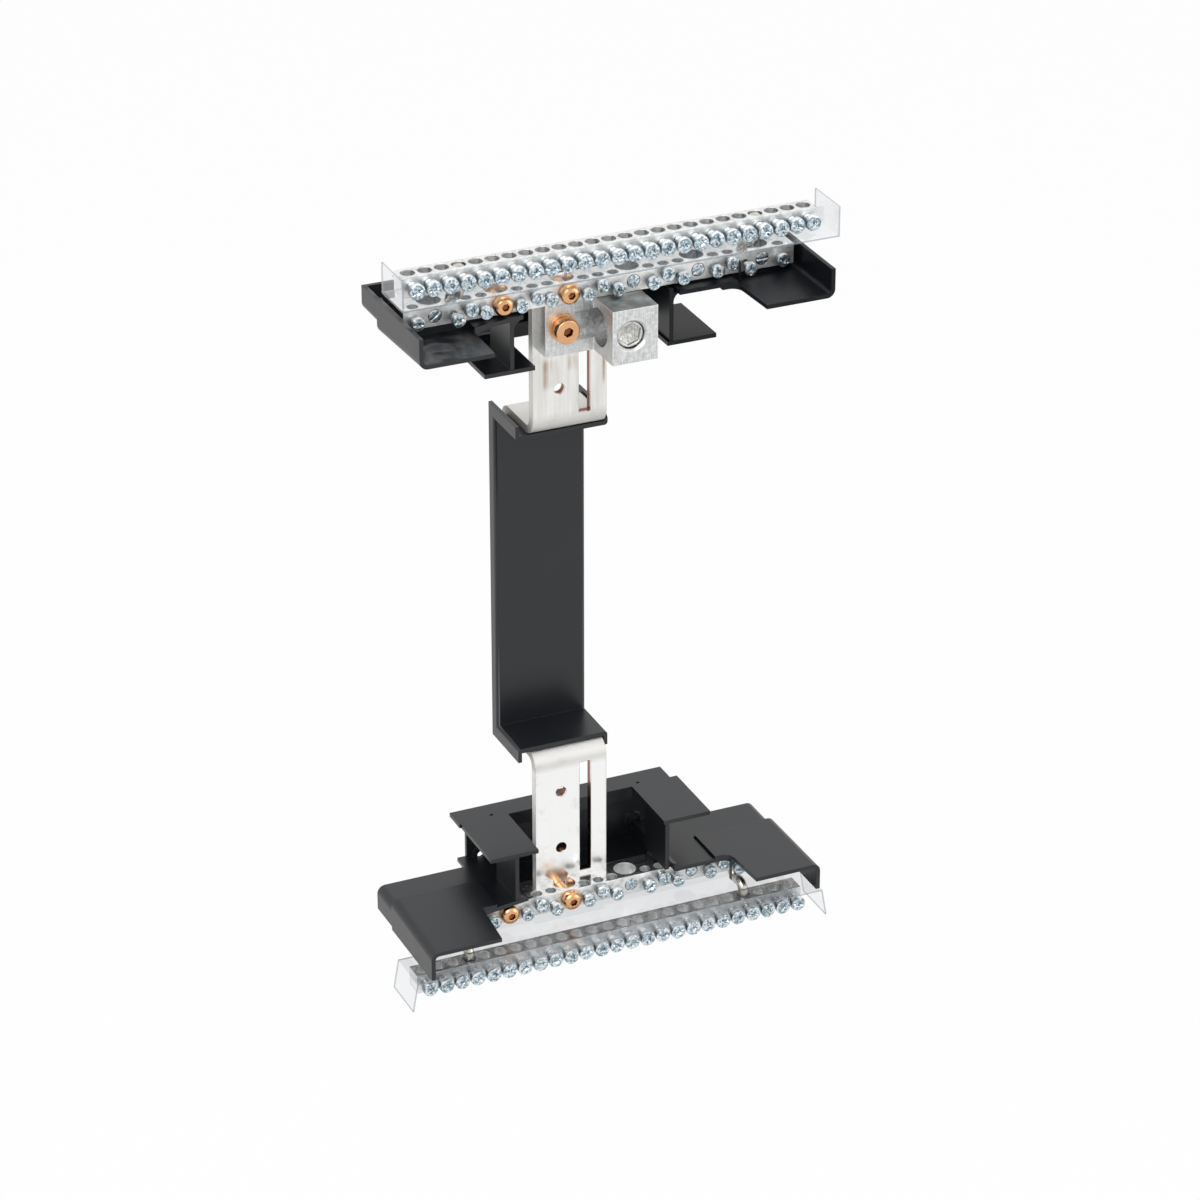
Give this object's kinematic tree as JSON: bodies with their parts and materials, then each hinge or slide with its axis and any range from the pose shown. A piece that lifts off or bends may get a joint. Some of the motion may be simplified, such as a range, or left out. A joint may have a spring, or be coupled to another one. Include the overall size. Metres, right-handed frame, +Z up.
{
  "type": "neutral busbar assembly",
  "caption": "Twin neutral terminal bars at both ends of a bent strap, with screw terminals, clear sheets, plastic carriers and a wire lug.",
  "frame": {"origin": "middle of the back face of the bus strap", "axes": "+X along the terminal bars to the right, -Y to the front, where the screw heads face, +Z up along the strap"},
  "size_m": [0.215, 0.0816, 0.3675],
  "materials": {
    "tinned_copper": "bright tin plating with light stains, copper coloured at the cut edges",
    "black_plastic": "satin black moulding",
    "bar_aluminium": "bright drawn bar",
    "zinc_steel": "bluish zinc plating",
    "bronze": "yellowish copper coloured plating",
    "bright_steel": "bright rod",
    "clear_sheet": "clear and glossy",
    "lug_aluminium": "satin tin plated aluminium"
  },
  "bodies": {
    "root": {"bus_strap": "tinned_copper", "strap_insulator": "black_plastic", "upper_carrier": "black_plastic", "lower_carrier": "black_plastic", "upper_main_bar": "bar_aluminium", "lower_main_bar": "bar_aluminium", "upper_branch_bar": "bar_aluminium", "lower_branch_bar": "bar_aluminium", "upper_small_screws": "zinc_steel", "lower_small_screws": "zinc_steel", "upper_set_screws": "zinc_steel", "lower_set_screws": "zinc_steel", "upper_branch_screws": "zinc_steel", "lower_branch_screws": "zinc_steel", "upper_bond_screws": "bronze", "lower_bond_screws": "bronze", "lug_bolt": "bronze", "lug_washer": "bronze", "upper_bar_links": "bright_steel", "lower_bar_links": "bright_steel", "upper_clear_sheet": "clear_sheet", "lower_clear_sheet": "clear_sheet", "lug_body": "lug_aluminium", "lug_set_screw": "lug_aluminium"}
  },
  "joints": []
}
